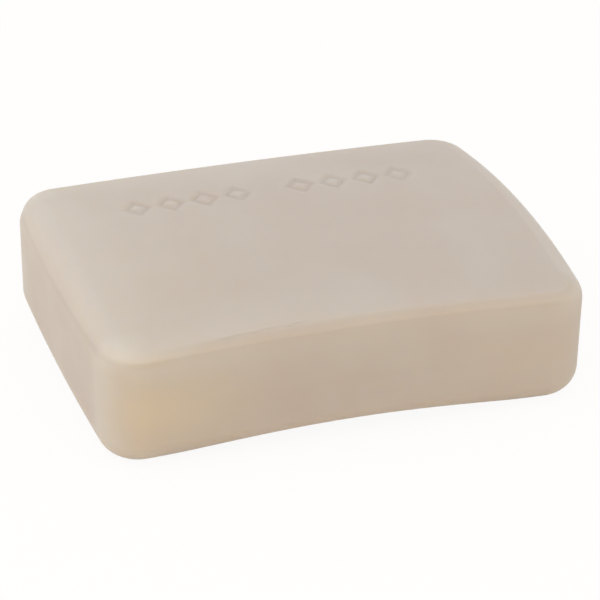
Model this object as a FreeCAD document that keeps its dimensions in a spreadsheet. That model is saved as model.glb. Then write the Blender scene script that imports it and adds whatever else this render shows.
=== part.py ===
import FreeCAD, Part
import math
import os
import Sketcher

V = FreeCAD.Vector
doc = FreeCAD.newDocument("soap_bar")

# Sizes in millimetres and degrees
# The length runs along X, the width along Y and the height along Z.
# The bar rests on z = 0 with its middle over the origin.
sizes = {
    "bar_length": (82, "over the tips of the two bowed ends"),
    "bar_width": (61.8, "over the corners, where the bar is widest"),
    "bar_height": (23.5, "from the table to the top of the crown"),
    "corner_radius": (7, "the four corners seen from above"),
    "end_bow": (0.7, "how far each end swells beyond its corners"),
    "side_waist": (0.7, "how far each long side draws in at its middle"),
    "side_draft": (0.8, "lean of the sides that lets the bar leave its die"),
    "crown_long": (0.9, "fall of the top from the middle to an end"),
    "crown_cross": (2.7, "fall of the top from the middle to a long side"),
    "hollow_rise": (2.6, "rise of the underside at its middle"),
    "hollow_run": (68, "length of the hollow between the two flat lands"),
    "top_round_side": (1.6, "rounding of the top edge along a side"),
    "top_round_end": (4.4, "rounding of the top edge along an end"),
    "foot_round": (4.7, "rounding of the foot"),
    "seam_level": (18.5, "height of the line where the two dies met"),
    "seam_gap": (0.5, "width of that line"),
    "seam_depth": (0.2, "depth of that line"),
    "mark_tall": (6.6, "one lozenge, across the bar"),
    "mark_wide": (5, "one lozenge, along the bar"),
    "mark_stroke": (1.1, "width of the pressed line that draws a lozenge"),
    "mark_depth": (0.4, "depth of that line below the crown"),
    "mark_pitch": (5.8, "step from one lozenge to the next"),
    "mark_gap": (6, "gap between the two groups of lozenges"),
    "mark_shift": (14, "row of lozenges behind the middle of the bar"),
    "mark_count": (4, "lozenges in each group"),
}
sheet = doc.addObject("Spreadsheet::Sheet", "sizes")
for line, (alias, (value, note)) in enumerate(sizes.items(), 1):
    sheet.set("A%d" % line, alias)
    sheet.set("B%d" % line, str(value))
    sheet.set("C%d" % line, note)
    sheet.setAlias("B%d" % line, alias)
doc.recompute()

# Room by which a cutting shape stands clear of the bar
CLEAR = 5
# Depth below the crown to which the face of the stamp is trimmed
TRIM = 20
# Height under which an edge counts as lying on the table
LEVEL = 0.01


def size(alias):
    return float(sheet.get(alias))


def sketch_on(body, name, role):
    """Sketch on one of the body's own origin planes."""
    sketch = body.newObject("Sketcher::SketchObject", name)
    face = next(f for f in body.Origin.OriginFeatures if f.Role == role)
    sketch.AttachmentSupport = [(face, "")]
    sketch.MapMode = "FlatFace"
    return sketch


def rule(sketch, *terms):
    """Constraint without a size."""
    return sketch.addConstraint(Sketcher.Constraint(*terms))


def drive(sketch, expression, *terms):
    """Constraint whose size follows the sheet."""
    index = sketch.addConstraint(Sketcher.Constraint(*terms))
    sketch.setExpression("Constraints[%d]" % index, expression)


def arc(centre, start, end):
    """Arc about centre, anticlockwise from start to end."""
    a = math.atan2(start.y - centre.y, start.x - centre.x)
    b = math.atan2(end.y - centre.y, end.x - centre.x)
    if b < a:
        b += 2 * math.pi
    circle = Part.Circle(centre, V(0, 0, 1), start.distanceToPoint(centre))
    return Part.ArcOfCircle(circle, a, b)


def segment(start, end):
    return Part.LineSegment(start, end)


def arc_radius(chord, rise):
    """Expression for the radius of an arc of a given chord and rise."""
    return "((%s) ^ 2 / 4 + (%s) ^ 2) / (2 * (%s))" % (chord, rise, rise)


def arc_radius_now(chord, rise):
    return (chord ** 2 / 4 + rise ** 2) / (2 * rise)


# Outline seen from above: bowed ends, waisted sides, round corners
half_l = size("bar_length") / 2
half_w = size("bar_width") / 2
corner_r = size("corner_radius")
waist = size("side_waist")
end_r = arc_radius_now(size("bar_width"), size("end_bow"))
end_c = V(half_l - end_r, 0, 0)
corner_y = half_w - corner_r
corner_x = end_c.x + math.sqrt((end_r - corner_r) ** 2 - corner_y ** 2)
corner_c = V(corner_x, corner_y, 0)
lead = corner_r - waist
side_r = (corner_x ** 2 + lead ** 2 - corner_r ** 2) / (2 * waist)
side_c = V(0, half_w - waist + side_r, 0)
end_join = corner_c + (corner_c - end_c).normalize() * corner_r
side_join = corner_c + (side_c - corner_c).normalize() * corner_r
waist_point = V(0, half_w - waist, 0)


def flip(point, sx, sy):
    return V(point.x * sx, point.y * sy, 0)


blank = doc.addObject("PartDesign::Body", "blank")
outline = sketch_on(blank, "outline", "XY_Plane")
outline.setExpression(".AttachmentOffset.Base.z", "sizes.bar_height")

END, CORNER, SIDE, WAIST = 0, 2, 6, 8
quadrants = [(1, 1), (-1, 1), (-1, -1), (1, -1)]
outline.addGeometry(arc(end_c, flip(end_join, 1, -1), end_join))
outline.addGeometry(arc(flip(end_c, -1, 1), flip(end_join, -1, 1), flip(end_join, -1, -1)))
for sx, sy in quadrants:
    ends = [flip(end_join, sx, sy), flip(side_join, sx, sy)]
    if sx * sy < 0:
        ends.reverse()
    outline.addGeometry(arc(flip(corner_c, sx, sy), *ends))
outline.addGeometry(arc(side_c, flip(side_join, -1, 1), side_join))
outline.addGeometry(arc(flip(side_c, 1, -1), flip(side_join, 1, -1), flip(side_join, -1, -1)))
for sy in (1, -1):
    outline.addGeometry(Part.Point(flip(waist_point, 1, sy)), True)

for n, (end, end_tip, corner_start, side, side_tip) in enumerate(
    ((0, 2, 1, 0, 2), (1, 1, 2, 0, 1), (1, 2, 1, 1, 2), (0, 1, 2, 1, 1))
):
    rule(outline, "Tangent", END + end, end_tip, CORNER + n, corner_start)
    rule(outline, "Tangent", CORNER + n, 3 - corner_start, SIDE + side, side_tip)
    if n:
        rule(outline, "Equal", CORNER, CORNER + n)
drive(outline, "sizes.corner_radius", "Radius", CORNER, corner_r)
drive(outline, arc_radius("sizes.bar_width", "sizes.end_bow"), "Radius", END, end_r)
rule(outline, "Equal", END, END + 1)
end_reach = arc_radius("sizes.bar_width", "sizes.end_bow") + " - sizes.bar_length / 2"
for end, near, far in ((END, (END, 3), (-1, 1)), (END + 1, (-1, 1), (END + 1, 3))):
    rule(outline, "PointOnObject", end, 3, -1)
    drive(outline, end_reach, "DistanceX", *near, *far, end_r - half_l)
corner_up = "sizes.bar_width / 2 - sizes.corner_radius"
waist_up = "sizes.bar_width / 2 - sizes.side_waist"
for n in (0, 1):
    drive(outline, corner_up, "DistanceY", -1, 1, CORNER + n, 3, corner_y)
for n in (2, 3):
    drive(outline, corner_up, "DistanceY", CORNER + n, 3, -1, 1, corner_y)
for n in (0, 1):
    rule(outline, "PointOnObject", WAIST + n, 1, SIDE + n)
    rule(outline, "PointOnObject", WAIST + n, 1, -2)
drive(outline, waist_up, "DistanceY", -1, 1, WAIST, 1, half_w - waist)
drive(outline, waist_up, "DistanceY", WAIST + 1, 1, -1, 1, half_w - waist)
doc.recompute()

# Blank: the outline drawn down to the table, a little narrower at the foot
pad = blank.newObject("PartDesign::Pad", "drafted_block")
pad.Profile = outline
pad.Reversed = True
pad.Refine = False
pad.setExpression("Length", "sizes.bar_height")
pad.setExpression("TaperAngle", "-sizes.side_draft")
doc.recompute()

# Foot: rounded all the way round
foot = blank.newObject("PartDesign::Fillet", "foot_rounding")
on_table = [n for n, e in enumerate(pad.Shape.Edges, 1) if e.BoundBox.ZMax < LEVEL]
foot.Base = (pad, ["Edge%d" % n for n in on_table])
foot.Refine = False
foot.setExpression("Radius", "sizes.foot_round")
doc.recompute()

# Crown: a crosswise arc swung about a line far below the bar
long_radius = arc_radius("sizes.bar_length", "sizes.crown_long")
cross_radius = arc_radius("sizes.bar_width", "sizes.crown_cross")
long_r = arc_radius_now(size("bar_length"), size("crown_long"))
cross_r = arc_radius_now(size("bar_width"), size("crown_cross"))
swing = "2 * asin((sizes.bar_length / 2 + %g) / (%s))" % (CLEAR, long_radius)


def crown_cut(body, name, sunk, beyond):
    """Groove bounded by the crown lowered by sunk; it reaches up or down by beyond."""
    sketch = sketch_on(body, name + "_section", "YZ_Plane")
    sketch.setExpression(".AttachmentOffset.Base.y", "sizes.bar_height - " + long_radius)
    radius = cross_r - (size(sunk) if sunk else 0)
    radius_text = cross_radius + (" - sizes." + sunk if sunk else "")
    centre = V(0, long_r - cross_r, 0)
    wide = half_w + CLEAR
    edge = centre.y + math.sqrt(radius ** 2 - wide ** 2)
    far = long_r + beyond
    right, left = V(wide, edge, 0), V(-wide, edge, 0)
    sketch.addGeometry(arc(centre, right, left))
    sketch.addGeometry(segment(left, V(-wide, far, 0)))
    sketch.addGeometry(segment(V(-wide, far, 0), V(wide, far, 0)))
    sketch.addGeometry(segment(V(wide, far, 0), right))
    rule(sketch, "Coincident", 0, 2, 1, 1)
    rule(sketch, "Coincident", 1, 2, 2, 1)
    rule(sketch, "Coincident", 2, 2, 3, 1)
    rule(sketch, "Coincident", 3, 2, 0, 1)
    rule(sketch, "Vertical", 1)
    rule(sketch, "Horizontal", 2)
    rule(sketch, "Vertical", 3)
    rule(sketch, "PointOnObject", 0, 3, -2)
    drive(sketch, radius_text, "Radius", 0, radius)
    drive(sketch, long_radius + " - " + cross_radius, "DistanceY", -1, 1, 0, 3, centre.y)
    reach = "sizes.bar_width / 2 + %g" % CLEAR
    drive(sketch, reach, "DistanceX", -1, 1, 0, 1, wide)
    drive(sketch, reach, "DistanceX", 0, 2, -1, 1, wide)
    drive(sketch, "%s + %g" % (long_radius, beyond), "DistanceY", -1, 1, 2, 1, far)
    doc.recompute()
    groove = body.newObject("PartDesign::Groove", name)
    groove.Profile = sketch
    groove.ReferenceAxis = (sketch, ["H_Axis"])
    groove.Midplane = True
    groove.Refine = False
    groove.setExpression("Angle", swing)
    doc.recompute()
    return groove


crown = crown_cut(blank, "crown", None, CLEAR)

# Hollow of the underside: a shallow arch that leaves a flat land at each end
hollow_r = arc_radius_now(size("hollow_run"), size("hollow_rise"))
half_run = size("hollow_run") / 2
arch = sketch_on(blank, "hollow_arch", "XZ_Plane")
arch.addGeometry(arc(V(0, size("hollow_rise") - hollow_r, 0), V(half_run, 0, 0), V(-half_run, 0, 0)))
arch.addGeometry(segment(V(-half_run, 0, 0), V(half_run, 0, 0)))
rule(arch, "Coincident", 0, 2, 1, 1)
rule(arch, "Coincident", 1, 2, 0, 1)
rule(arch, "PointOnObject", 0, 1, -1)
rule(arch, "PointOnObject", 0, 2, -1)
drive(arch, "sizes.hollow_run / 2", "DistanceX", -1, 1, 0, 1, half_run)
drive(arch, "sizes.hollow_run / 2", "DistanceX", 0, 2, -1, 1, half_run)
drive(arch, arc_radius("sizes.hollow_run", "sizes.hollow_rise"), "Radius", 0, hollow_r)
doc.recompute()
hollow = blank.newObject("PartDesign::Pocket", "hollow")
hollow.Profile = arch
hollow.SideType = "Symmetric"
hollow.Refine = False
hollow.setExpression("Length", "sizes.bar_width + %g" % (2 * CLEAR))
blank.Tip = hollow
doc.recompute()

# Top edge: tighter along the sides than along the ends, growing round each corner
top_face = max(blank.Shape.Faces, key=lambda face: face.CenterOfMass.z)
mid_corner = (side_join.x + end_join.x) / 2
rim = []
for n, edge in enumerate(blank.Shape.Edges, 1):
    if any(edge.isSame(e) for e in top_face.OuterWire.Edges):
        tips = [edge.valueAt(edge.FirstParameter), edge.valueAt(edge.LastParameter)]
        radii = ["end" if abs(tip.x) > mid_corner else "side" for tip in tips]
        rim.append((n, *(size("top_round_" + name) for name in radii)))


def rounded_from(start):
    """Rounding of the whole rim, begun at one of its edges."""
    made = doc.addObject("Part::Fillet", "rounded")
    made.Base = blank
    made.Edges = rim[start:] + rim[:start]
    doc.recompute()
    return made


def sound(shape):
    return not shape.isNull() and shape.isValid()


# The rounding closes on itself round the rim, and not every edge is a sound one to begin at.
# A failed try leaves its mark on the blank, so the next one gets a fresh blank.
start = 0
rounded = rounded_from(start)
while not sound(rounded.Shape) and start < len(rim) - 1:
    doc.removeObject(rounded.Name)
    hollow.touch()
    doc.recompute()
    start += 1
    rounded = rounded_from(start)

# Seam: a fine line round the bar where the upper and lower dies met
slab = doc.addObject("Part::Box", "seam_slab")
slab.setExpression("Length", "sizes.bar_length + %g" % (2 * CLEAR))
slab.setExpression("Width", "sizes.bar_width + %g" % (2 * CLEAR))
slab.setExpression("Height", "sizes.seam_gap")
slab.setExpression(".Placement.Base.x", "-Length / 2")
slab.setExpression(".Placement.Base.y", "-Width / 2")
slab.setExpression(".Placement.Base.z", "sizes.seam_level - sizes.seam_gap / 2")
core = doc.addObject("Part::Scale", "seam_core")
core.Base = rounded
core.Uniform = True
core.setExpression("UniformScale", "1 - 2 * sizes.seam_depth / sizes.bar_width")
ring = doc.addObject("Part::Cut", "seam_ring")
ring.Base = slab
ring.Tool = core
seamed = doc.addObject("Part::Cut", "seamed")
seamed.Base = rounded
seamed.Tool = ring
doc.recompute()

# Stamp: two groups of open lozenges in a row, pressed into the crown
stamp = doc.addObject("PartDesign::Body", "stamp")
stamp.AllowCompound = True
lozenge = sketch_on(stamp, "lozenge", "XY_Plane")
lozenge.setExpression(".AttachmentOffset.Base.z", "sizes.bar_height + %g" % CLEAR)
wide, tall, stroke = size("mark_wide"), size("mark_tall"), size("mark_stroke")
diagonal = math.hypot(wide, tall)
mark_x, mark_y = (size("mark_gap") + wide) / 2, size("mark_shift")
x_text = "(sizes.mark_gap + sizes.mark_wide) / 2"
y_text = "sizes.mark_shift"
slant = "sqrt(sizes.mark_wide ^ 2 + sizes.mark_tall ^ 2)"
outer = ("sizes.mark_wide / 2", "sizes.mark_tall / 2")
inner = (
    "(sizes.mark_wide / 2 - sizes.mark_stroke * %s / sizes.mark_tall)" % slant,
    "(sizes.mark_tall / 2 - sizes.mark_stroke * %s / sizes.mark_wide)" % slant,
)
outer_now = (wide / 2, tall / 2)
inner_now = (wide / 2 - stroke * diagonal / tall, tall / 2 - stroke * diagonal / wide)
for texts, (a, b) in ((outer, outer_now), (inner, inner_now)):
    first = lozenge.GeometryCount
    tips = [V(mark_x + a, mark_y, 0), V(mark_x, mark_y + b, 0)]
    tips += [V(mark_x - a, mark_y, 0), V(mark_x, mark_y - b, 0)]
    for n in range(4):
        lozenge.addGeometry(segment(tips[n], tips[(n + 1) % 4]))
    for n in range(4):
        rule(lozenge, "Coincident", first + n, 2, first + (n + 1) % 4, 1)
    x_terms = (x_text + " + " + texts[0], x_text, x_text + " - " + texts[0], x_text)
    y_terms = (y_text, y_text + " + " + texts[1], y_text, y_text + " - " + texts[1])
    for n in range(4):
        drive(lozenge, x_terms[n], "DistanceX", -1, 1, first + n, 1, tips[n].x)
        drive(lozenge, y_terms[n], "DistanceY", -1, 1, first + n, 1, tips[n].y)
doc.recompute()

tooth = stamp.newObject("PartDesign::Pad", "tooth")
tooth.Profile = lozenge
tooth.Reversed = True
sunk_length = "%g + sizes.crown_long + sizes.crown_cross + sizes.mark_depth" % CLEAR
tooth.setExpression("Length", sunk_length)
doc.recompute()
rows = stamp.newObject("PartDesign::MultiTransform", "two_groups")
rows.Originals = [tooth]
along = stamp.newObject("PartDesign::LinearPattern", "group")
along.Direction = (lozenge, ["H_Axis"])
along.setExpression("Occurrences", "sizes.mark_count")
along.setExpression("Length", "sizes.mark_pitch * (sizes.mark_count - 1)")
mirror = stamp.newObject("PartDesign::Mirrored", "other_group")
mirror.MirrorPlane = (lozenge, ["V_Axis"])
rows.Transformations = [along, mirror]
stamp.Tip = rows
doc.recompute()
trim = crown_cut(stamp, "stamp_face", "mark_depth", -TRIM)
stamp.Tip = trim

soap = doc.addObject("Part::Cut", "soap_bar")
soap.Label = "soap_bar"
soap.Base = seamed
soap.Tool = stamp
soap.Placement = FreeCAD.Placement()
doc.recompute()

for item in doc.Objects:
    if "Invalid" in item.State or "Error" in item.State:
        raise RuntimeError(item.Label + " did not build")
if not sound(soap.Shape) or len(soap.Shape.Solids) != 1:
    raise RuntimeError("the bar is not one sound solid")

os.makedirs("parts", exist_ok=True)
soap.Shape.exportStep("parts/soap_bar.step")
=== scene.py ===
# %% [markdown]
# # A pressed bar of soap
# The real thing is one piece of pale soap, stamped between two dies while it was still soft.
# Nothing on it moves and nothing is joined to it, so this lesson is about one closed surface
# and one good finish. First the frame is read. It holds the measured model that the new
# surface has to agree with, in metres, standing on z = 0. The lesson itself counts in
# millimetres, and turns them to metres when it fills a mesh.

# %% Load the frame
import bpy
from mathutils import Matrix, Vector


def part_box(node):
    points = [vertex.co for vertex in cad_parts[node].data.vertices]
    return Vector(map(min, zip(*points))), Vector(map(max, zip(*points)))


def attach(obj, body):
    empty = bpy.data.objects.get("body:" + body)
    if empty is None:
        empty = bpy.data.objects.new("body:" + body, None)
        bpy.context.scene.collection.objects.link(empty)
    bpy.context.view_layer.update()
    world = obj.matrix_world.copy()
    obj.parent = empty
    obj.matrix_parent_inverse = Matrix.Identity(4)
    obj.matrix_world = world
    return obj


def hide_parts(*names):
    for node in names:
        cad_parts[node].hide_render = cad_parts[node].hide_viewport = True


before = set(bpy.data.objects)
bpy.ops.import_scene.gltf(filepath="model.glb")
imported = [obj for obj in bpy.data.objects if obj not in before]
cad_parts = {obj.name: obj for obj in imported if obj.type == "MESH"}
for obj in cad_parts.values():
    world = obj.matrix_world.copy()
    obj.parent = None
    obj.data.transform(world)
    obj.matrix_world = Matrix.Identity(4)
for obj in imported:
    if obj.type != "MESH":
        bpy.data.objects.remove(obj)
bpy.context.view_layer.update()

import math

import bpy
import numpy as np
from mathutils import Matrix

MM = 0.001
low, high = (np.array(corner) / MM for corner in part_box("soap_bar"))
print("measured bar, mm:", np.round(high - low, 1))

# %% [markdown]
# ## The outline
# Seen from above the bar is not a plain rectangle. Its ends swell a little, its long sides
# draw in a little, and its corners are round. Eight arcs that run smoothly into each other
# say all of that. A box smoothed by subdivision could look alike, but nobody could then say
# how wide the bar is at its waist. The bar is alike on all four quarters, so one quarter is
# worked out: half an end, a corner and half a side.

# %% A quarter of the outline
LENGTH, WIDTH, HEIGHT = 82.0, 61.8, 23.5
CORNER, BOW, WAIST = 7.0, 0.7, 0.7
ARC_STEPS = 900


def arc_radius(chord, rise):
    """Radius of an arc: half the chord squared plus the rise squared, over twice the rise."""
    return (chord ** 2 / 4 + rise ** 2) / (2 * rise)


def quarter_outline():
    """Rows of x, y, angle and nearness to an end, for the quarter where x and y are positive.

    Every arc is centre + radius * (cos a, sin a), where a is also the way it faces. The
    drawn-in side curves the other way, so its radius is negative.
    """
    end_r = arc_radius(WIDTH, BOW)
    end_x = LENGTH / 2 - end_r
    corner_y = WIDTH / 2 - CORNER
    corner_x = end_x + math.sqrt((end_r - CORNER) ** 2 - corner_y ** 2)
    side_r = (corner_x ** 2 + (CORNER - WAIST) ** 2 - CORNER ** 2) / (2 * WAIST)
    side_y = WIDTH / 2 - WAIST + side_r
    end_a = math.atan2(corner_y, corner_x - end_x)
    side_a = math.atan2(side_y - corner_y, -corner_x)
    steps = np.linspace(0, 1, ARC_STEPS, endpoint=False)
    arcs = (
        (end_x, 0.0, end_r, 0.0, end_a, 1 + 0 * steps),
        (corner_x, corner_y, CORNER, end_a, side_a, 1 - steps),
        (0.0, side_y, -side_r, side_a, math.pi / 2, 0 * steps),
    )
    parts = []
    for cx, cy, r, start, stop, near in arcs:
        turn = start + (stop - start) * steps
        parts.append(np.stack([cx + r * np.cos(turn), cy + r * np.sin(turn), turn, near]))
    return np.concatenate(parts, 1)


quarter = quarter_outline()
print("points on a quarter:", quarter.shape[1])

# %% [markdown]
# ### All the way round
# The quarter is mirrored and turned to make the whole loop. Walking round it gives one
# column of the surface per step, and each step knows which way is outwards. Even steps would
# leave the tight corners coarse, so the pace counts turning as well as length.

# %% The whole outline
COLUMNS, TURN_PACE = 512, 4


def outline(quarter, columns):
    """Place, outward direction and nearness to an end of each column round the bar.

    The quarter is mirrored to a half, and the half is turned by 180 degrees to the whole.
    The pace round the loop is even in length plus turning, a radian counting as 4 mm, which
    puts more columns on the tight corners.
    """
    flip_x = quarter[:, :0:-1] * [[-1], [1], [-1], [1]] + [[0], [0], [math.pi], [0]]
    middle = np.array([[0], [WIDTH / 2 - WAIST], [math.pi / 2], [0]])
    half = np.concatenate([quarter, middle, flip_x], 1)
    other = half * [[-1], [-1], [1], [1]] + [[0], [0], [math.pi], [0]]
    left_tip = np.array([[-LENGTH / 2], [0], [math.pi], [1]])
    right_tip = np.array([[LENGTH / 2], [0], [2 * math.pi], [1]])
    loop = np.concatenate([half, left_tip, other[:, 1:], right_tip], 1)
    pace = np.hypot(*np.diff(loop[:2])) + TURN_PACE * np.abs(np.diff(loop[2]))
    walked = np.concatenate([[0], np.cumsum(pace)])
    stops = np.linspace(0, walked[-1], columns, endpoint=False)
    x, y, turn, near = (np.interp(stops, walked, row) for row in loop)
    return np.stack([x, y], 1), np.stack([np.cos(turn), np.sin(turn)], 1), near


rim, outward, near_end = outline(quarter, COLUMNS)
print("columns:", COLUMNS, "outline, mm:", np.round(np.ptp(rim, axis=0), 2))

# %% [markdown]
# ## Crown and hollow
# The upper die left the top gently domed both ways, so that the bar sheds water and feels
# full in the hand. The lower die left a shallow arch underneath, and the bar stands on a
# flat land at each end of it. Both are parts of large circles. Giving each one a small
# function of place means that every other step can ask how high the soap is there.

# %% Heights of the top and the underside
CROWN_LONG, CROWN_CROSS = 0.9, 2.7
HOLLOW_RISE, HOLLOW_RUN = 2.6, 68.0


def crown(x, y):
    """Height of the top: a crosswise arc swung about a line far below the bar.

    The crosswise arc sinks away from the middle line. What is left of the long arc's radius
    after that sink is swung along the bar.
    """
    long_r = arc_radius(LENGTH, CROWN_LONG)
    cross_r = arc_radius(WIDTH, CROWN_CROSS)
    sink = cross_r - np.sqrt(cross_r ** 2 - y ** 2)
    return HEIGHT - long_r + np.sqrt((long_r - sink) ** 2 - x ** 2)


def hollow(x):
    """Height of the underside: an arc along the bar, and zero on the two lands."""
    radius = arc_radius(HOLLOW_RUN, HOLLOW_RISE)
    inside = np.clip(np.abs(x), 0, HOLLOW_RUN / 2)
    return np.sqrt(radius ** 2 - inside ** 2) - (radius - HOLLOW_RISE)


corner_top = crown(LENGTH / 2 - CORNER, WIDTH / 2 - CORNER)
print("top over the middle of a corner, mm:", round(float(corner_top), 2))

# %% [markdown]
# ## The rounded shoulder
# A pressed bar has no sharp edge anywhere. Its top edge is rounder along the ends than along
# the sides. A bevel modifier has one width for the whole edge, so the rounding is worked
# out here: it is an arc that touches the leaning wall on one side and the domed top on the
# other, and its radius changes on the way round each corner.

# %% The arc between wall and top
DRAFT = math.radians(0.8)
ROUND_SIDE, ROUND_END = 1.6, 4.4
FIRST_SINK, ROUNDS, SLOPE_STEP = 1.5, 12, 0.01


def at(inset):
    """Places that lie inwards of the outline by inset, one for each column."""
    return rim - np.reshape(inset, (-1, 1)) * outward


def shoulder():
    """Radius, inset and height of the arc's centre, and its angle where it meets the top.

    The radius goes from that of the sides to that of the ends by a smooth step. The centre
    is one radius from the wall and one radius from the crown. The crown's slope depends on
    where they touch, so it starts from a guess, and a few rounds settle it.
    """
    blend = near_end ** 2 * (3 - 2 * near_end)
    radius = ROUND_SIDE + (ROUND_END - ROUND_SIDE) * blend
    centre_z = HEIGHT - FIRST_SINK - radius
    slope = np.zeros(COLUMNS)
    for _ in range(ROUNDS):
        inset = radius / math.cos(DRAFT) + (HEIGHT - centre_z) * math.tan(DRAFT)
        touch = inset - radius * np.sin(slope)
        x, y = at(touch).T
        further_x, further_y = (at(touch) + SLOPE_STEP * outward).T
        slope = np.arctan((crown(x, y) - crown(further_x, further_y)) / SLOPE_STEP)
        centre_z = crown(x, y) - radius * np.cos(slope)
    return radius, inset, centre_z, slope


arc_r, arc_inset, arc_z, arc_slope = shoulder()
meets = arc_z + arc_r * np.cos(arc_slope)
print("shoulder meets the top at, mm:", np.round([meets.min(), meets.max()], 2))

# %% [markdown]
# ## Rings from the top to the underside
# The surface is a grid: columns round the bar, rings from the middle of the top, over the
# shoulder, down the wall, round the foot and in under the bar. Rings on the top and the
# underside are given by their share of the way out, and those on the wall by their height.
# They stand closer together where there is something fine to carry: from 0.34 to 0.72 of
# the way out, for the pressed marks, and close to the parting line.

# %% Where the rings lie
FOOT = 4.7
SEAM_LEVEL, SEAM_WIDTH = 18.5, 0.6


def spaced(*runs):
    """Evenly spaced values over runs of (start, stop, count), one run after the other."""
    return np.concatenate([np.linspace(a, b, count, endpoint=False) for a, b, count in runs])


top_steps = spaced((0.03, 0.34, 12), (0.34, 0.72, 52), (0.72, 0.96, 9), (0.96, 1.0, 9))
bend_steps = spaced((0, 1, 14))
near_seam = spaced((2 * SEAM_WIDTH, SEAM_WIDTH, 5), (SEAM_WIDTH, -SEAM_WIDTH, 14))
levels = np.append(SEAM_LEVEL + near_seam, np.linspace(SEAM_LEVEL - SEAM_WIDTH, FOOT, 22))
foot_steps = np.linspace(0, 1, 26)[1:]
under_steps = np.append(np.linspace(1, 0.86, 8)[1:], np.linspace(0.86, 0.04, 24)[1:])
print("rings on top, shoulder, wall, foot and underside:",
      [len(steps) for steps in (top_steps, bend_steps, levels, foot_steps, under_steps)])

# %% [markdown]
# ### The plain bar
# Five stretches of rings make the bar before anything is pressed into it. Each is one sum
# over whole arrays, with the rings down the array and the columns across it, and they are
# stacked into one grid at the end.

# %% The plain bar as a grid of rings


def around(inset, height):
    """Points inwards of the outline by inset and at a height, for each ring and column."""
    return np.dstack([rim - inset[..., None] * outward, height])


def ring_grid():
    """Grid of points (ring, column, xyz) of the bar before anything is pressed into it.

    Top and underside are shrunken copies of the ring that bounds them. Shoulder and foot
    are arcs by angle. The wall is given by height: the last of the shoulder's arc, and
    below it a straight line that leans by the draft.
    """
    edge = at(arc_inset - arc_r * np.sin(arc_slope))
    top = top_steps[:, None, None] * edge
    top = np.dstack([top, crown(top[..., 0], top[..., 1])])
    last = np.arccos(np.clip((levels[0] - arc_z) / arc_r, -1, 1))
    angle = arc_slope + (last - arc_slope) * bend_steps[:, None]
    bend = around(arc_inset - arc_r * np.sin(angle), arc_z + arc_r * np.cos(angle))
    rise = levels[:, None] - arc_z
    curved = arc_inset - np.sqrt(np.clip(arc_r ** 2 - rise ** 2, 0, None))
    straight = (HEIGHT - levels[:, None]) * math.tan(DRAFT) + 0 * rise
    inset = np.where(rise > -arc_r * math.sin(DRAFT), curved, straight)
    wall = around(inset, levels[:, None] + 0 * rise)
    angle = math.pi / 2 * (1 + foot_steps[:, None]) + 0 * arc_z
    foot_in = FOOT / math.cos(DRAFT) + (HEIGHT - FOOT) * math.tan(DRAFT)
    foot = around(foot_in - FOOT * np.sin(angle), FOOT + FOOT * np.cos(angle))
    under = under_steps[:, None, None] * foot[-1, :, :2]
    under = np.dstack([under, np.zeros(under.shape[:2])])
    return np.concatenate([top, bend, wall, foot, under])


grid = ring_grid()
print("rings:", len(grid), "triangles:", 2 * COLUMNS * len(grid))

# %% [markdown]
# ## The hollow underside
# The plain bar has a flat underside so far, and the lower die's arch has to lift it. Taking
# the larger of the two heights would do that, but it would leave a knife edge where the arch
# meets a land or the rounded foot. A soft maximum rounds that border over.

# %% Hollow the underside
HOLLOW_EASE = 0.2


def soft_max(a, b, ease):
    """Larger of two heights, rounded over where they are within ease of each other.

    It is half of their sum and the root of their difference squared plus ease squared.
    """
    return (a + b + np.sqrt((a - b) ** 2 + ease ** 2)) / 2


x, y, z = np.moveaxis(grid, 2, 0)
rise = hollow(x)
grid[..., 2] = np.where(z < FOOT, soft_max(z, rise, HOLLOW_EASE * rise), z)
print("height under the middle, mm:", round(float(z[-1].max()), 2))

# %% [markdown]
# ## Pressed marks
# The upper die pressed two groups of four open lozenges into the back half of the top, a
# plain pattern of no maker. They are worn soft, as on a bar that has been handled. A boolean
# cut would leave sharp walls, so each mark is a distance from a line, turned into a depth
# that fades out on both sides of that line.

# %% Press the marks
MARK_WIDE, MARK_TALL, MARK_STROKE = 5.0, 6.6, 1.1
MARK_Y, MARK_DEPTH = 14.0, 0.28
MARK_X = np.array([5.5, 11.3, 17.1, 22.9])
MARK_EASE, TIP_POWER = 1.2, 1.12


def bell(distance, width):
    """1 at no distance, about a third at one width: exp of minus their ratio squared."""
    return np.exp(-(distance / width) ** 2)


def pressed(x, y):
    """Depth from 0 to 1 of the marks: how near a place is to a lozenge's middle line.

    A lozenge is where |x| / a + |y| / b is 1. A power a little over 1 rounds its four tips.
    """
    across = math.hypot(MARK_WIDE, MARK_TALL)
    middle = MARK_WIDE * MARK_TALL / 2 / across - MARK_STROKE / 2
    a, b = middle * across / MARK_TALL, middle * across / MARK_WIDE
    near_x = np.min(np.abs(np.abs(x)[..., None] - MARK_X), axis=-1)
    reach = (near_x / a) ** TIP_POWER + (np.abs(y - MARK_Y) / b) ** TIP_POWER
    reach = reach ** (1 / TIP_POWER)
    away = np.abs(reach - 1) * middle / (MARK_STROKE / 2)
    return bell(away, MARK_EASE)


on_top = np.arange(len(grid))[:, None] < len(top_steps)
mark = np.where(on_top, pressed(x, y), 0)
grid[..., 2] -= MARK_DEPTH * mark
print("deepest mark, mm:", round(float(MARK_DEPTH * mark.max()), 2))

# %% [markdown]
# ## The parting line
# Where the two dies met, they left a faint line round the walls, about a millimetre wide and
# less than a tenth deep. It is worn away nearly everywhere, and it shows best at the left
# end. A cut edge loop would be too sharp, so it is a narrow dip in the wall, and its
# strength follows an S-shaped curve along the bar.

# %% Cut the parting line
SEAM_DEPTH, SEAM_FAINT = 0.09, 0.12
SEAM_FADES, SEAM_FADE_RUN = -31.0, 3.0


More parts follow.
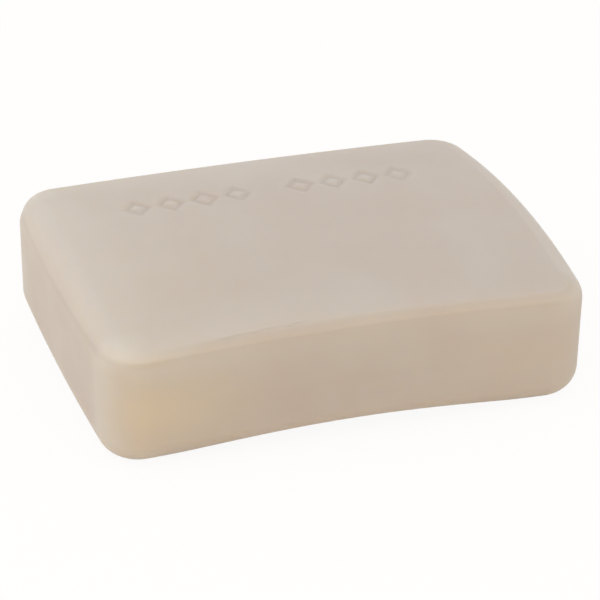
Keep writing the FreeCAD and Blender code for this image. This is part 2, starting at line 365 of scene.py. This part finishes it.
def seam_depth(x, z):
    """Depth in mm of the parting line: a bell over height times an S-curve along the bar."""
    s_curve = 1 + np.exp((x - SEAM_FADES) / SEAM_FADE_RUN)
    strength = SEAM_FAINT + (1 - SEAM_FAINT) / s_curve
    return SEAM_DEPTH * strength * bell(z - SEAM_LEVEL, SEAM_WIDTH)


line = np.where(on_top, 0, seam_depth(x, z))
grid[..., :2] -= line[..., None] * outward
print("deepest parting line, mm:", round(float(line.max()), 2))

# %% [markdown]
# ## Nicks along the front edge
# The top has dried to a crust, and along the left half of the front edge that crust has
# crumbled. There are six shallow nicks, about 1.5 to 3.3 mm long and 0.06 mm deep, and some
# run into each other. Distances over the surface say how far any point lies past the edge,
# and the same numbers place the pale rim above each nick later on.

# %% Nick the front edge
NICK_X = np.array([-20.8, -18.9, -16.2, -13.9, -10.6, -9.1])
NICK_LONG = np.array([1.1, 1.6, 1.2, 2.0, 0.9, 1.5])
NICK_PAST = np.array([0.5, 0.25, 0.35, 0.05, 0.2, -0.15])
NICK_WIDE, NICK_DEPTH = 0.22, 0.06
FACES_FRONT = -0.7


def walked_from(grid, ring):
    """Distance over the surface, along each column, from one ring to every other ring.

    It adds up the straight steps between neighbouring rings.
    """
    steps = np.linalg.norm(np.diff(grid, axis=0), axis=2)
    walked = np.concatenate([np.zeros((1, steps.shape[1])), np.cumsum(steps, axis=0)])
    return walked - walked[ring]


past_edge = walked_from(grid, len(top_steps))
on_front = (outward[:, 1] < FACES_FRONT)[:, None]
along = bell(grid[..., :1] - NICK_X, NICK_LONG) * on_front
from_nick = past_edge[..., None] - NICK_PAST
nick = (along * bell(from_nick, NICK_WIDE)).max(axis=-1)
nick_rim = (along * bell(from_nick + 2 * NICK_WIDE, NICK_WIDE)).max(axis=-1)
grid[..., 2] -= NICK_DEPTH * nick
print("nicks:", len(NICK_X), "deepest, mm:", round(float(NICK_DEPTH * nick.max()), 2))

# %% [markdown]
# ## From grid to mesh
# A grid of quads wraps round the bar, and a fan of triangles closes each pole. The vertices
# go into the mesh as whole arrays, scaled to metres, so that no loop runs over them. The new
# surface then takes the place of the measured bar, which stays for weight and collision.

# %% Build the bar


def closed_mesh(name, grid, poles):
    """Mesh object of a grid that closes on itself, with a pole above and one below.

    Each quad joins two neighbouring rings and two neighbouring columns, and the column
    after the last is the first.
    """
    rings, columns = grid.shape[:2]
    vertices = np.concatenate([grid.reshape(-1, 3), poles]) * MM
    index = np.arange(rings * columns).reshape(rings, columns)
    across = np.roll(index, -1, axis=1)
    quads = np.stack([index[:-1], index[1:], across[1:], across[:-1]], -1).reshape(-1, 4)
    top = np.stack([np.full(columns, index.size), index[0], across[0]], -1)
    foot = np.stack([np.full(columns, index.size + 1), across[-1], index[-1]], -1)
    corners = np.concatenate([quads.ravel(), top.ravel(), foot.ravel()])
    sizes = np.repeat([4, 3], [len(quads), 2 * columns])
    mesh = bpy.data.meshes.new(name)
    mesh.vertices.add(len(vertices))
    mesh.vertices.foreach_set("co", vertices.ravel())
    mesh.loops.add(len(corners))
    mesh.loops.foreach_set("vertex_index", corners.astype(np.int32))
    mesh.polygons.add(len(sizes))
    starts = np.concatenate([[0], np.cumsum(sizes)[:-1]])
    mesh.polygons.foreach_set("loop_start", starts.astype(np.int32))
    mesh.update(calc_edges=True)
    mesh.validate()
    mesh.shade_smooth()
    piece = bpy.data.objects.new(name, mesh)
    bpy.context.collection.objects.link(piece)
    return piece


poles = np.array([[0, 0, crown(0.0, 0.0)], [0, 0, hollow(0.0)]])
soap = closed_mesh("pressed_bar", grid, poles)
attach(soap, "root")
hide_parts("soap_bar")
print("triangles:", sum(len(p.vertices) - 2 for p in soap.data.polygons))

# %% [markdown]
# ## Paler edges: dry soap and painted light
# Soap is not one colour all over. Its raised edges dry first and go paler, most of all at the
# left end and at the corners, and the same paler colour paints in light as well: a painted
# highlight along the rim and round the corners, and painted light on the end faces and the
# ends of the top. Painting that by hand would tie it to one view, so each vertex gets a
# number from 0 to 1 instead. It is the largest of four patches: the rim, the corners, the
# end faces and the ends of the top. The end faces go by the way they look and the others by
# a bell of distance. Each has its own share, and all grow towards the left, the side the
# light falls from.

# %% Dryness and painted light of the edges
MIDDLE_SHARE, LEFT_GAIN = 0.55, 0.45
RIM_SHARE, RIM_AT_ENDS, RIM_AT_BACK = 0.45, 0.2, 0.1
RIM_WIDTH, BELOW_RIM, BELOW_AT_ENDS = 9.0, 0.3, 7
CORNER_SHARE, CORNER_WIDTH = 0.85, 4.5
CORNER_FROM_END, CORNER_FROM_SIDE = 2.5, 5
FACE_SHARE, FACE_FROM, FACE_OVER = 0.1, 0.4, 0.5
TOP_SHARE, TOP_WIDTH = 0.4, 16.0

x, y, z = np.moveaxis(grid, 2, 0)
on_wall = past_edge > 0
to_end = LENGTH / 2 - np.abs(x)
to_side = WIDTH / 2 - np.abs(y)
towards_left = MIDDLE_SHARE - LEFT_GAIN * x / (LENGTH / 2)
at_back = np.clip(outward[:, 1], 0, 1)
rim_share = RIM_SHARE + RIM_AT_ENDS * near_end ** 2 + RIM_AT_BACK * at_back
below_width = BELOW_RIM + BELOW_AT_ENDS * near_end ** 2
rim_width = np.where(past_edge > BELOW_RIM, below_width, RIM_WIDTH)
# Painted highlight along the rim, in the paler colour.
painted_rim_highlight = rim_share * bell(past_edge, rim_width)
# Painted light round the corners.
from_corner = np.hypot(to_end - CORNER_FROM_END, to_side - CORNER_FROM_SIDE)
painted_corner_light = CORNER_SHARE * bell(from_corner, CORNER_WIDTH) * on_wall
# Painted light on the end faces, which goes by the way they face.
faces_end = np.clip((np.abs(outward[:, 0]) - FACE_FROM) / FACE_OVER, 0, 1)
painted_end_light = FACE_SHARE * faces_end * on_wall
# Painted light on the ends of the top.
painted_top_light = TOP_SHARE * bell(to_end, TOP_WIDTH) * ~on_wall
dry_and_painted_light = np.maximum.reduce([painted_rim_highlight, painted_corner_light, painted_end_light, painted_top_light]) * towards_left
print("dryness of the edges, most:", round(float(dry_and_painted_light.max()), 2))

# %% [markdown]
# ## Painted light on the walls
# The walls are painted paler too, as painted light, in a soft band under the shoulder that
# is stronger towards both ends, and along the foot near the ends. The rim above each nick is
# dry and paler as well, and the two corners of the top at the left end get a painted
# highlight. The patches of the last cell are kept, and whichever number is larger counts.

# %% Painted light on the walls and the left corners
WALL_SHARE, WALL_AT_ENDS, WALL_AT_LEFT = 0.26, 0.2, 0.2
WALL_REACH, WALL_LEFT_X, WALL_LEFT_WIDTH = 35, -32, 8
WALL_PAST, WALL_WIDTH = 3.0, 4.0
FOOT_SHARE, FOOT_HEIGHT, FOOT_WIDTH = 0.5, 4.0, 12.0
NICK_PALE = 0.6
TIP_X, TIP_Y, TIP_WIDTH = -36.5, 27, 4.5

# Painted light: a paler band under the shoulder.
wall_share = WALL_SHARE + WALL_AT_ENDS * (x / WALL_REACH) ** 2
wall_share = wall_share + WALL_AT_LEFT * bell(x - WALL_LEFT_X, WALL_LEFT_WIDTH)
wall_top = wall_share * bell(past_edge - WALL_PAST, WALL_WIDTH) * on_wall
# Painted light along the foot near the ends, stronger at the left.
wall_foot = FOOT_SHARE * bell(z, FOOT_HEIGHT) * bell(to_end, FOOT_WIDTH)
wall_foot = wall_foot * on_wall * towards_left
# Painted highlight on the two corners of the top at the left end.
painted_tip_highlights = bell(np.hypot(x - TIP_X, np.abs(y) - TIP_Y), TIP_WIDTH) * (z > SEAM_LEVEL)
dry_and_painted_light = np.maximum.reduce([dry_and_painted_light, wall_top, wall_foot, NICK_PALE * nick_rim, painted_tip_highlights])
print("dryness of the whole bar, most:", round(float(dry_and_painted_light.max()), 2))

# %% [markdown]
# ## Painted shade on the shoulder and painted glow where the soap is thin
# The two long shoulders get a painted shade where they turn away from the light from above:
# a shade darker, in a narrow band just past the edge that fades out towards the left end.
# Near the corners the soap is thin enough for light to pass, and that light is painted in:
# the long sides are painted yellower there at about half height, and so, faintly, is the left
# end of the top. Both are bells of distance again, so they have no border that shows.

# %% Painted shade on the shoulder and painted glow of thin soap
SHOULDER_SHADE_PAST, SHOULDER_SHADE_ABOVE, SHOULDER_SHADE_BELOW = 0.9, 0.7, 1.2
SHOULDER_SHADE_STARTS, SHOULDER_SHADE_FADE = -38, 14
THIN_LEVEL, THIN_HEIGHT, THIN_WIDTH = 10.0, 6.0, 14.0
THIN_TOP_SHARE = 0.18

# Painted shade on the long shoulders, just past the edge.
shoulder_shade_width = np.where(past_edge < SHOULDER_SHADE_PAST, SHOULDER_SHADE_ABOVE, SHOULDER_SHADE_BELOW)
painted_shoulder_shade = bell(past_edge - SHOULDER_SHADE_PAST, shoulder_shade_width) * np.clip((x - SHOULDER_SHADE_STARTS) / SHOULDER_SHADE_FADE, 0, 1)
painted_shoulder_shade = painted_shoulder_shade * (1 - near_end ** 2)
# Painted glow: light passing through the thin soap near the corners, painted yellower.
on_side = np.abs(outward[:, 1]) ** 3 * bell(z - THIN_LEVEL, THIN_HEIGHT)
painted_glow = bell(LENGTH / 2 - CORNER - np.abs(x), THIN_WIDTH) * on_side * towards_left
# Painted glow, faint, on the left end of the top.
painted_glow_on_top = THIN_TOP_SHARE * bell(x + LENGTH / 2, 2 * THIN_WIDTH) * (past_edge <= 0)
painted_glow = np.maximum(painted_glow, painted_glow_on_top)
print("rubbed, most:", round(float(painted_shoulder_shade.max()), 2), "thin, most:", round(float(painted_glow.max()), 2))

# %% [markdown]
# ## Notes on the vertices
# Six numbers on each vertex say how much dry soap and painted light, painted glow and
# painted shoulder shade there is, how nicked or pressed the soap is there, and how deep the
# parting line is. The mesh carries them under a name each, and the finish reads them by that
# name. A pole has none of them, so it gets 0.

# %% Store the notes
notes = {
    "dry_and_painted_light": dry_and_painted_light,
    "painted_glow": painted_glow,
    "painted_shoulder_shade": painted_shoulder_shade,
    "nicked": nick,
    "pressed": mark,
    "parting": line / line.max(),
}
for label, values in notes.items():
    layer = soap.data.attributes.new(label, "FLOAT", "POINT")
    layer.data.foreach_set("value", np.append(values.ravel(), [0, 0]).astype(np.float32))
    print(label, "from", round(float(values.min()), 2), "to", round(float(values.max()), 2))

# %% [markdown]
# ## The finish of milled soap
# Toilet soap is milled, squeezed out as a rope and pressed. It is cream coloured, waxy and
# slightly translucent, so light sinks in, spreads for some millimetres and comes out
# warmer. That is what subsurface does here, with red and green travelling further than
# blue. The rope leaves faint streaks that run along the bar, the milling leaves soft clouds
# of tone, and the die leaves a satin face that is never quite flat. Three helpers come
# first: one for colours, one that adds any node, and one that starts a material.

# %% Small helpers for materials


def linear(code):
    """Linear colour of an sRGB hex code: the usual curve, channel by channel."""
    channels = np.array([int(code[n:n + 2], 16) for n in (1, 3, 5)]) / 255
    curved = ((channels + 0.055) / 1.055) ** 2.4
    return [*np.where(channels <= 0.04045, channels / 12.92, curved), 1.0]


def add(tree, kind, inputs=None, **settings):
    """Node of a kind with its settings; each input gets a value or another node's socket."""
    node = tree.nodes.new(kind)
    for key, value in settings.items():
        setattr(node, key, value)
    for key, value in (inputs or {}).items():
        if isinstance(value, bpy.types.NodeSocket):
            tree.links.new(value, node.inputs[key])
        else:
            node.inputs[key].default_value = value
    return node


def new_material(name):
    """Empty material with its node tree."""
    made = bpy.data.materials.new(name)
    made.use_nodes = True
    made.node_tree.nodes.clear()
    return made, made.node_tree


print("middle grey, linear:", round(float(linear("#808080")[0]), 3))

# %% [markdown]
# ### Clouds and streaks
# A mix node joins two colours by a factor, so the colour is built up in layers, each over
# the one before. The first are the clouds, 14 mm across, and the streaks, 34 mm long, 12 mm
# wide and 2.4 mm high. Both are only a shade away from the cream, as on the real bar. A
# noise texture gives each, and a mapping node gives it its size in millimetres.

# %% Clouds and streaks of milled soap
CREAM, CLOUD, STREAK = "#CABCAF", "#CDC3B7", "#C6B8AA"
CLOUD_SIZE, CLOUD_RANGE, CLOUD_SHARE = 14, (0.35, 0.65), 0.6
STREAK_SIZE, STREAK_RANGE, STREAK_SHARE = 2.4, (0.45, 0.75), 0.22
STREAK_STRETCH = (14, 5, 1)
# A mix node has sockets for numbers, vectors and colours. These are the places of the last.
MIX_A, MIX_B, MIX_OUT = 6, 7, 2

milled, soap_tree = new_material("milled_toilet_soap")
place = add(soap_tree, "ShaderNodeTexCoord").outputs["Object"]


def layer_over(under, colour, factor, strength):
    """Colour that turns from under to colour as the factor goes from 0 to 1, times strength."""
    amount = add(soap_tree, "ShaderNodeMath", {0: factor, 1: strength}, operation="MULTIPLY")
    settings = {0: amount.outputs[0], MIX_A: under, MIX_B: linear(colour)}
    return add(soap_tree, "ShaderNodeMix", settings, data_type="RGBA").outputs[MIX_OUT]


def noise(size, detail, stretch=(1, 1, 1)):
    """Noise with patches of a size in mm, longer along an axis by its stretch."""
    scale = [1 / (size * MM * s) for s in stretch]
    spread = add(soap_tree, "ShaderNodeMapping", {"Vector": place, "Scale": scale})
    inputs = {"Vector": spread.outputs[0], "Scale": 1.0, "Detail": detail}
    return add(soap_tree, "ShaderNodeTexNoise", inputs).outputs["Fac"]


clouds = add(soap_tree, "ShaderNodeMapRange", {
    0: noise(CLOUD_SIZE, detail=2),
    1: CLOUD_RANGE[0],
    2: CLOUD_RANGE[1],
})
colour = layer_over(linear(CREAM), CLOUD, clouds.outputs[0], CLOUD_SHARE)
streaks = add(soap_tree, "ShaderNodeMapRange", {
    0: noise(STREAK_SIZE, detail=3, stretch=STREAK_STRETCH),
    1: STREAK_RANGE[0],
    2: STREAK_RANGE[1],
})
colour = layer_over(colour, STREAK, streaks.outputs[0], STREAK_SHARE)
print("material:", milled.name, "nodes so far:", len(soap_tree.nodes))

# %% [markdown]
# ### Colours that follow the notes
# Over the clouds and streaks come the layers that the notes on the vertices steer: the paler
# colour of dry soap and painted light, the painted yellow glow of thin soap, the painted shade
# on the shoulder, and last painted shade in the nicks, the marks and the parting line. An
# attribute node reads a note by its name. The shares keep the shaded shoulder, the nicks and
# the pressed places faint.

# %% Colours of dry soap, painted light and painted shade
YELLOWER, PALER, SHADE = "#D8C8AF", "#D6CEC2", "#A99986"
SHOULDER_SHADE_TONE = "#B0A08E"
# The paler and yellower tones paint light; the darker tones paint shade on the shoulder and in
# the nicks, marks and parting line.
LAYERS = (
    (PALER, "dry_and_painted_light", 1.0),
    (YELLOWER, "painted_glow", 1.0),
    (SHOULDER_SHADE_TONE, "painted_shoulder_shade", 0.28),
    (SHADE, "nicked", 0.22),
    (SHADE, "pressed", 0.12),
    (SHADE, "parting", 0.1),
)

for tone, label, share in LAYERS:
    note = add(soap_tree, "ShaderNodeAttribute", attribute_name=label).outputs["Fac"]
    colour = layer_over(colour, tone, note, share)
mixes = [node for node in soap_tree.nodes if node.bl_idname == "ShaderNodeMix"]
print("colour layers over the cream:", len(mixes))

# %% [markdown]
# ### Gloss and touch
# A die leaves soap with a satin gloss that varies a little from place to place. The face
# has a slow waviness, as soap shrinks unevenly while it dries, and a fine grain. Two bump
# nodes carry them, each with a height in millimetres, so they stay right at any zoom. Real
# grain is too fine to show at this size, so it is drawn half a millimetre across.

# %% Gloss and touch of milled soap
GLOSS_SIZE, GLOSS_RANGE = 9, (0.3, 0.7)
ROUGH_LEAST, ROUGH_MOST = 0.46, 0.56
WAVE_SIZE, WAVE_HEIGHT = 11, 0.12
GRAIN_SIZE, GRAIN_HEIGHT = 0.5, 0.012
SOAP_IOR = 1.46
SPREAD_COLOURS, SPREAD = (1.0, 0.85, 0.6), 3.5

gloss = add(soap_tree, "ShaderNodeMapRange", {
    0: noise(GLOSS_SIZE, detail=3),
    1: GLOSS_RANGE[0],
    2: GLOSS_RANGE[1],
    3: ROUGH_LEAST,
    4: ROUGH_MOST,
})
wave = add(soap_tree, "ShaderNodeBump", {
    "Height": noise(WAVE_SIZE, detail=2),
    "Distance": WAVE_HEIGHT * MM,
})
grain = add(soap_tree, "ShaderNodeBump", {
    "Height": noise(GRAIN_SIZE, detail=3),
    "Distance": GRAIN_HEIGHT * MM,
    "Normal": wave.outputs[0],
})
shader = add(soap_tree, "ShaderNodeBsdfPrincipled", {
    "Base Color": colour,
    "Roughness": gloss.outputs[0],
    "Normal": grain.outputs[0],
    "IOR": SOAP_IOR,
    "Subsurface Weight": 1.0,
    "Subsurface Radius": SPREAD_COLOURS,
    "Subsurface Scale": SPREAD * MM,
})
add(soap_tree, "ShaderNodeOutputMaterial", {"Surface": shader.outputs[0]})
soap.data.materials.append(milled)
print("finish:", milled.name, "nodes:", len(soap_tree.nodes))

# %% [markdown]
# ## Floor
# The bar lies on white paper. A floor bright enough to render white would light the soap
# from below, so the paper has two looks. To light that bounces off it, it is a matt, faintly
# cream sheet. To the camera, and to anything that mirrors it or looks through glass, it is
# nine parts of plain white glow and one part of that sheet, which keeps a trace of shadow.

# %% Floor
FLOOR_REACH = 4.0
PAPER = "#F3E9DA"
PAPER_GLOW, GLOW_SHARE = 1.02, 0.9


def shows_backdrop(tree):
    """1 for rays that look at the backdrop: from the camera, a mirror or through glass."""
    ray = add(tree, "ShaderNodeLightPath").outputs
    total = ray["Is Camera Ray"]
    for kind in ("Is Glossy Ray", "Is Transmission Ray"):
        settings = {0: total, 1: ray[kind]}
        added = add(tree, "ShaderNodeMath", settings, operation="ADD", use_clamp=True)
        total = added.outputs[0]
    return total


floor_mesh = bpy.data.meshes.new("floor")
signs = ((-1, -1), (1, -1), (1, 1), (-1, 1))
floor_corners = [(sx * FLOOR_REACH, sy * FLOOR_REACH, 0) for sx, sy in signs]
floor_mesh.from_pydata(floor_corners, [], [(0, 1, 2, 3)])
floor = bpy.data.objects.new("floor", floor_mesh)
bpy.context.collection.objects.link(floor)

paper, paper_tree = new_material("white_paper_floor")
matt = add(paper_tree, "ShaderNodeBsdfDiffuse", {"Color": linear(PAPER)}).outputs[0]
glow = add(paper_tree, "ShaderNodeEmission", {"Strength": PAPER_GLOW}).outputs[0]
white = add(paper_tree, "ShaderNodeMixShader", {0: GLOW_SHARE, 1: matt, 2: glow}).outputs[0]
looks = {0: shows_backdrop(paper_tree), 1: matt, 2: white}
choice = add(paper_tree, "ShaderNodeMixShader", looks)
add(paper_tree, "ShaderNodeOutputMaterial", {"Surface": choice.outputs[0]})
floor_mesh.materials.append(paper)
print("floor, m:", 2 * FLOOR_REACH, "square")

# %% [markdown]
# ## World and lamps
# Soft light from all round shows a rounded, translucent form best, so an even and nearly
# white world does most of the work. Its strength is a little over 0.8, and a plain white
# stands in for it where the backdrop itself is seen. Two large soft lamps add the rest: one
# to the left and about 33 degrees up, and a warmer one in front and about 17 degrees up.

# %% World and lamps
WORLD, WORLD_STRENGTH = "#FBFBFD", 0.832
AIM_HEIGHT = 0.012
LAMPS = (
    ("left_softbox", (-0.45, -0.03, 0.3), 0.5, 0.48, "#FFFFFF"),
    ("front_softbox", (-0.1, -0.85, 0.28), 0.9, 1.5, "#FFF9E7"),
)

world = bpy.data.worlds.new("studio")
world.use_nodes = True
world_tree = world.node_tree
world_tree.nodes.clear()
fill_inputs = {"Color": linear(WORLD), "Strength": WORLD_STRENGTH}
fill = add(world_tree, "ShaderNodeBackground", fill_inputs).outputs[0]
plain_inputs = {"Color": (1, 1, 1, 1), "Strength": 1.0}
plain = add(world_tree, "ShaderNodeBackground", plain_inputs).outputs[0]
looks = {0: shows_backdrop(world_tree), 1: fill, 2: plain}
choice = add(world_tree, "ShaderNodeMixShader", looks)
add(world_tree, "ShaderNodeOutputWorld", {"Surface": choice.outputs[0]})
bpy.context.scene.world = world


def lamp(name, place, width, power, colour):
    """Square area lamp at a place in metres, turned towards the middle of the bar.

    It tips by the angle whose tangent is its reach over its height above the aim, and then
    turns about the upright axis.
    """
    data = bpy.data.lights.new(name, "AREA")
    data.size = width
    data.energy = power
    data.color = linear(colour)[:3]
    made = bpy.data.objects.new(name, data)
    bpy.context.collection.objects.link(made)
    made.location = place
    aim = np.array(place) - np.array([0, 0, AIM_HEIGHT])
    reach = math.hypot(aim[0], aim[1])
    made.rotation_euler = (math.atan2(reach, aim[2]), 0, math.atan2(aim[0], -aim[1]))


for settings in LAMPS:
    lamp(*settings)
print("lamps:", [settings[0] for settings in LAMPS])

# %% [markdown]
# ## Camera
# The camera's place was worked out from the outline of the bar in the photograph, together
# with the bar's own sizes. It looks down by a little over 28 degrees, from the left of the
# front, with a long lens from half a metre away. Its axes come from three angles, and the
# point that it looks at is moved a little to the side and down, which frames the bar
# without any lens shift.

# %% Camera
FOCAL_PX, DISTANCE = 2942.0, 486.9
ELEVATION, AZIMUTH, ROLL = 28.168, -18.688, 0.774
SHIFT_RIGHT, SHIFT_UP = 0.923, -2.427
IMAGE_PX, SENSOR = 600, 36.0
CLIP_NEAR, CLIP_FAR = 0.01, 20.0


def camera_axes():
    """Right, up and back directions before the roll, then right and up after it.

    Back comes from elevation and azimuth, right is level and square to it, and up is square
    to both. The roll turns right and up about back.
    """
    e, a, r = (math.radians(v) for v in (ELEVATION, AZIMUTH, ROLL))
    back = np.array([math.sin(a) * math.cos(e), -math.cos(a) * math.cos(e), math.sin(e)])
    right = np.array([math.cos(a), math.sin(a), 0.0])
    up = np.cross(back, right)
    rolled = math.cos(r) * right + math.sin(r) * up
    return right, up, back, rolled, np.cross(back, rolled)


right, up, back, rolled, rolled_up = camera_axes()
target = np.array([0, 0, HEIGHT / 2]) + SHIFT_RIGHT * right + SHIFT_UP * up
spot = (target + back * DISTANCE) * MM
lens = bpy.data.cameras.new("camera")
lens.sensor_width = SENSOR
lens.lens = FOCAL_PX / IMAGE_PX * SENSOR
lens.clip_start = CLIP_NEAR
lens.clip_end = CLIP_FAR
camera = bpy.data.objects.new("camera", lens)
bpy.context.collection.objects.link(camera)
rows = np.stack([rolled, rolled_up, back, spot], axis=1)
camera.matrix_world = Matrix([*rows.tolist(), [0, 0, 0, 1]])
bpy.context.scene.camera = camera
bpy.context.scene.view_settings.view_transform = "Standard"
print("lens, mm:", round(lens.lens, 1), "distance, mm:", DISTANCE)
